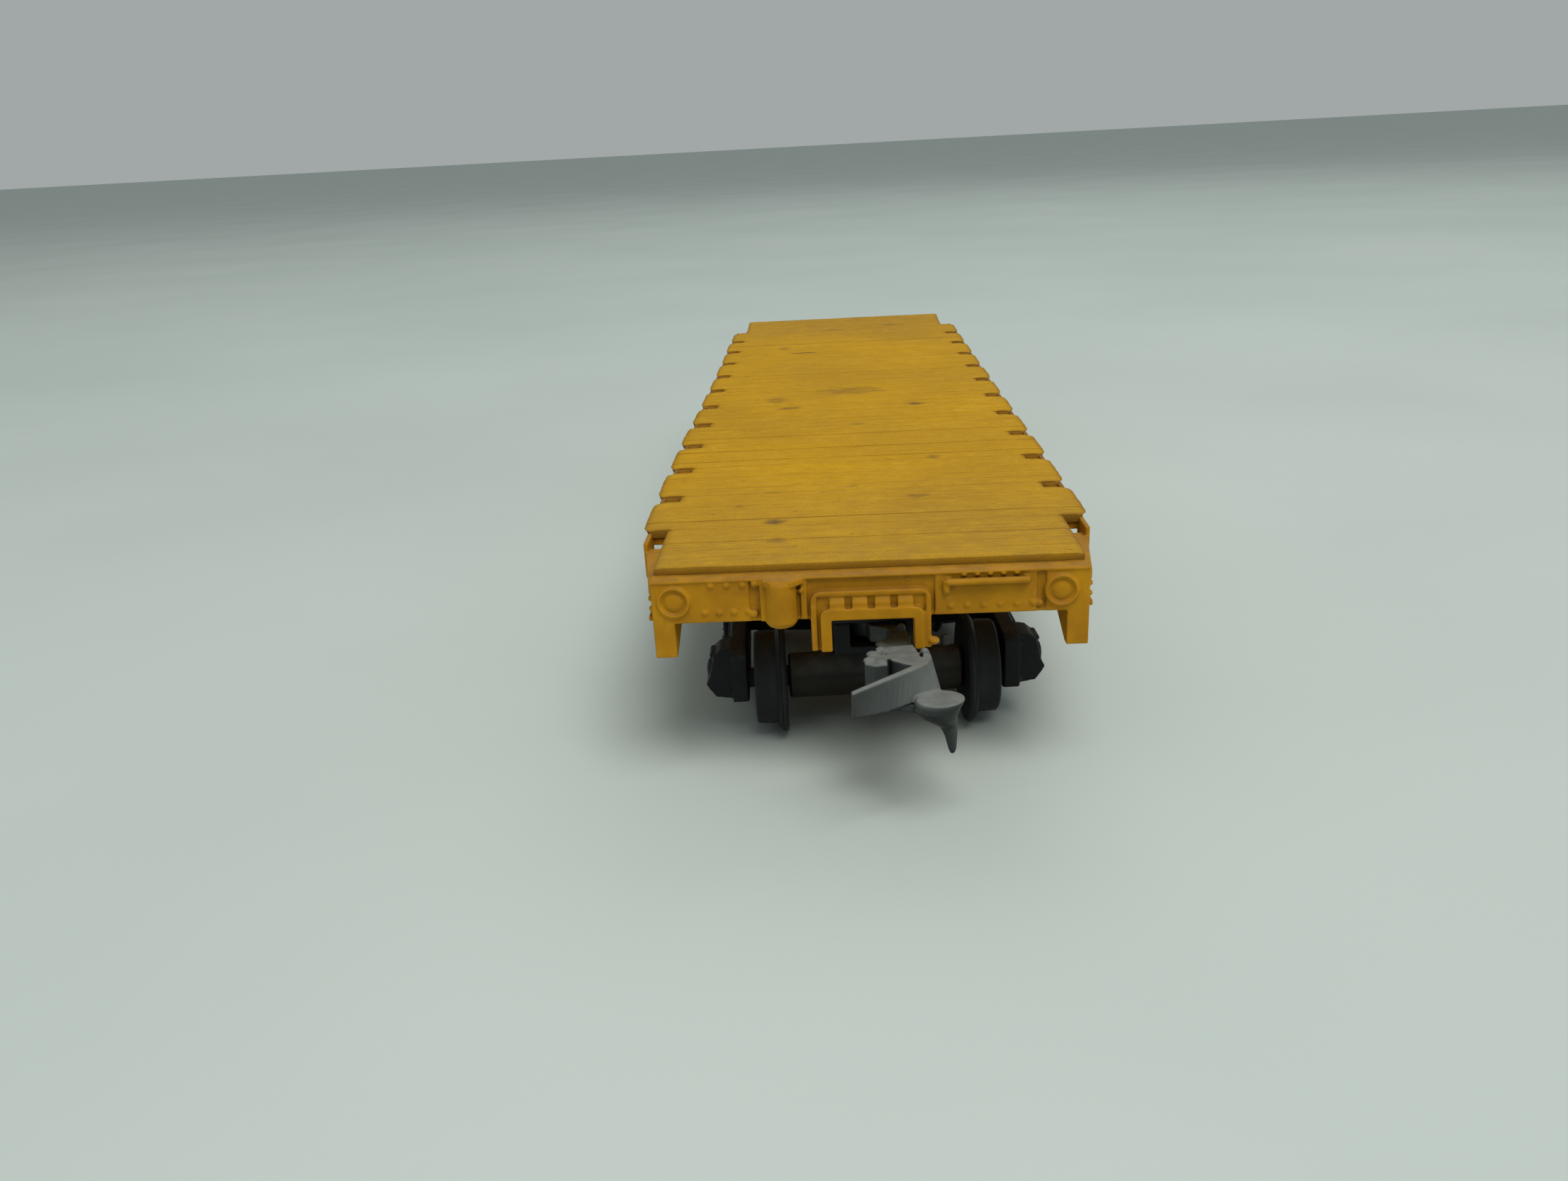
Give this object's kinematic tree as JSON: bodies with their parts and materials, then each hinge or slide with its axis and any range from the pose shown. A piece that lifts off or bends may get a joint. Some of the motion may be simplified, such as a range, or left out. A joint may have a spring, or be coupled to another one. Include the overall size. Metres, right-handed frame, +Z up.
{
  "type": "model flat car",
  "caption": "Model railway flat car with a planked deck, stake pockets along both sides, swivelling trucks with spinning wheelsets and swinging hook couplers.",
  "frame": {"origin": "middle of the car in plan, on the plane of the wheel bottoms", "axes": "+Y along the car, +X across it, +Z up; end A, the end with the first truck, is at -Y"},
  "size_m": [0.0358, 0.1438, 0.017],
  "materials": {
    "body_yellow": "mustard yellow moulded plastic, satin, fine wood grain on the deck, lightly dusty",
    "truck_black": "black moulded plastic, satin, dusty on its upper faces",
    "wheel_black": "black moulded plastic, polished thin on the tread",
    "axle_brown": "dark brown moulded plastic with a film of pale dust",
    "coupler_grey": "light grey moulded plastic, satin, rubbed pale on its edges",
    "weight_steel": "rolled steel strip, dull, spotted with light rust",
    "pin_steel": "turned steel, dull"
  },
  "bodies": {
    "car": {"car_body": "body_yellow", "weight_plate": "weight_steel", "underframe": "body_yellow", "kingpin_a": "pin_steel", "kingpin_b": "pin_steel"},
    "truck_a": {"truck_frame_a": "truck_black", "coupler_lid_a": "truck_black", "coupler_pin_a": "pin_steel"},
    "coupler_a": {"coupler_a": "coupler_grey"},
    "wheelset_a1": {"axle_a1": "axle_brown", "wheel_a1_left": "wheel_black", "wheel_a1_right": "wheel_black"},
    "wheelset_a2": {"axle_a2": "axle_brown", "wheel_a2_left": "wheel_black", "wheel_a2_right": "wheel_black"},
    "truck_b": {"truck_frame_b": "truck_black", "coupler_lid_b": "truck_black", "coupler_pin_b": "pin_steel"},
    "coupler_b": {"coupler_b": "coupler_grey"},
    "wheelset_b1": {"axle_b1": "axle_brown", "wheel_b1_left": "wheel_black", "wheel_b1_right": "wheel_black"},
    "wheelset_b2": {"axle_b2": "axle_brown", "wheel_b2_left": "wheel_black", "wheel_b2_right": "wheel_black"}
  },
  "joints": [
    {"name": "truck_a_swivel", "type": "hinge", "parent": "car", "child": "truck_a", "pos_m": [0, -0.04454, 0.0086], "axis": [0, 0, 1], "range_deg": [-15, 9]},
    {"name": "coupler_a_swing", "type": "hinge", "parent": "truck_a", "child": "coupler_a", "pos_m": [0.00057, -0.05548, 0.0095], "axis": [0, 0, 1], "range_deg": [-18, 6]},
    {"name": "wheelset_a1_spin", "type": "hinge", "parent": "truck_a", "child": "wheelset_a1", "pos_m": [0.00051, -0.05418, 0.0046], "axis": [0.9986, 0.0523, 0], "continuous": true},
    {"name": "wheelset_a2_spin", "type": "hinge", "parent": "truck_a", "child": "wheelset_a2", "pos_m": [-0.00051, -0.0349, 0.0046], "axis": [0.9986, 0.0523, 0], "continuous": true},
    {"name": "truck_b_swivel", "type": "hinge", "parent": "car", "child": "truck_b", "pos_m": [0, 0.04454, 0.0086], "axis": [0, 0, 1], "range_deg": [-15, 9]},
    {"name": "coupler_b_swing", "type": "hinge", "parent": "truck_b", "child": "coupler_b", "pos_m": [-0.00057, 0.05548, 0.0095], "axis": [0, 0, 1], "range_deg": [-18, 6]},
    {"name": "wheelset_b1_spin", "type": "hinge", "parent": "truck_b", "child": "wheelset_b1", "pos_m": [-0.00051, 0.05418, 0.0046], "axis": [0.9986, 0.0523, 0], "continuous": true},
    {"name": "wheelset_b2_spin", "type": "hinge", "parent": "truck_b", "child": "wheelset_b2", "pos_m": [0.00051, 0.0349, 0.0046], "axis": [0.9986, 0.0523, 0], "continuous": true}
  ]
}
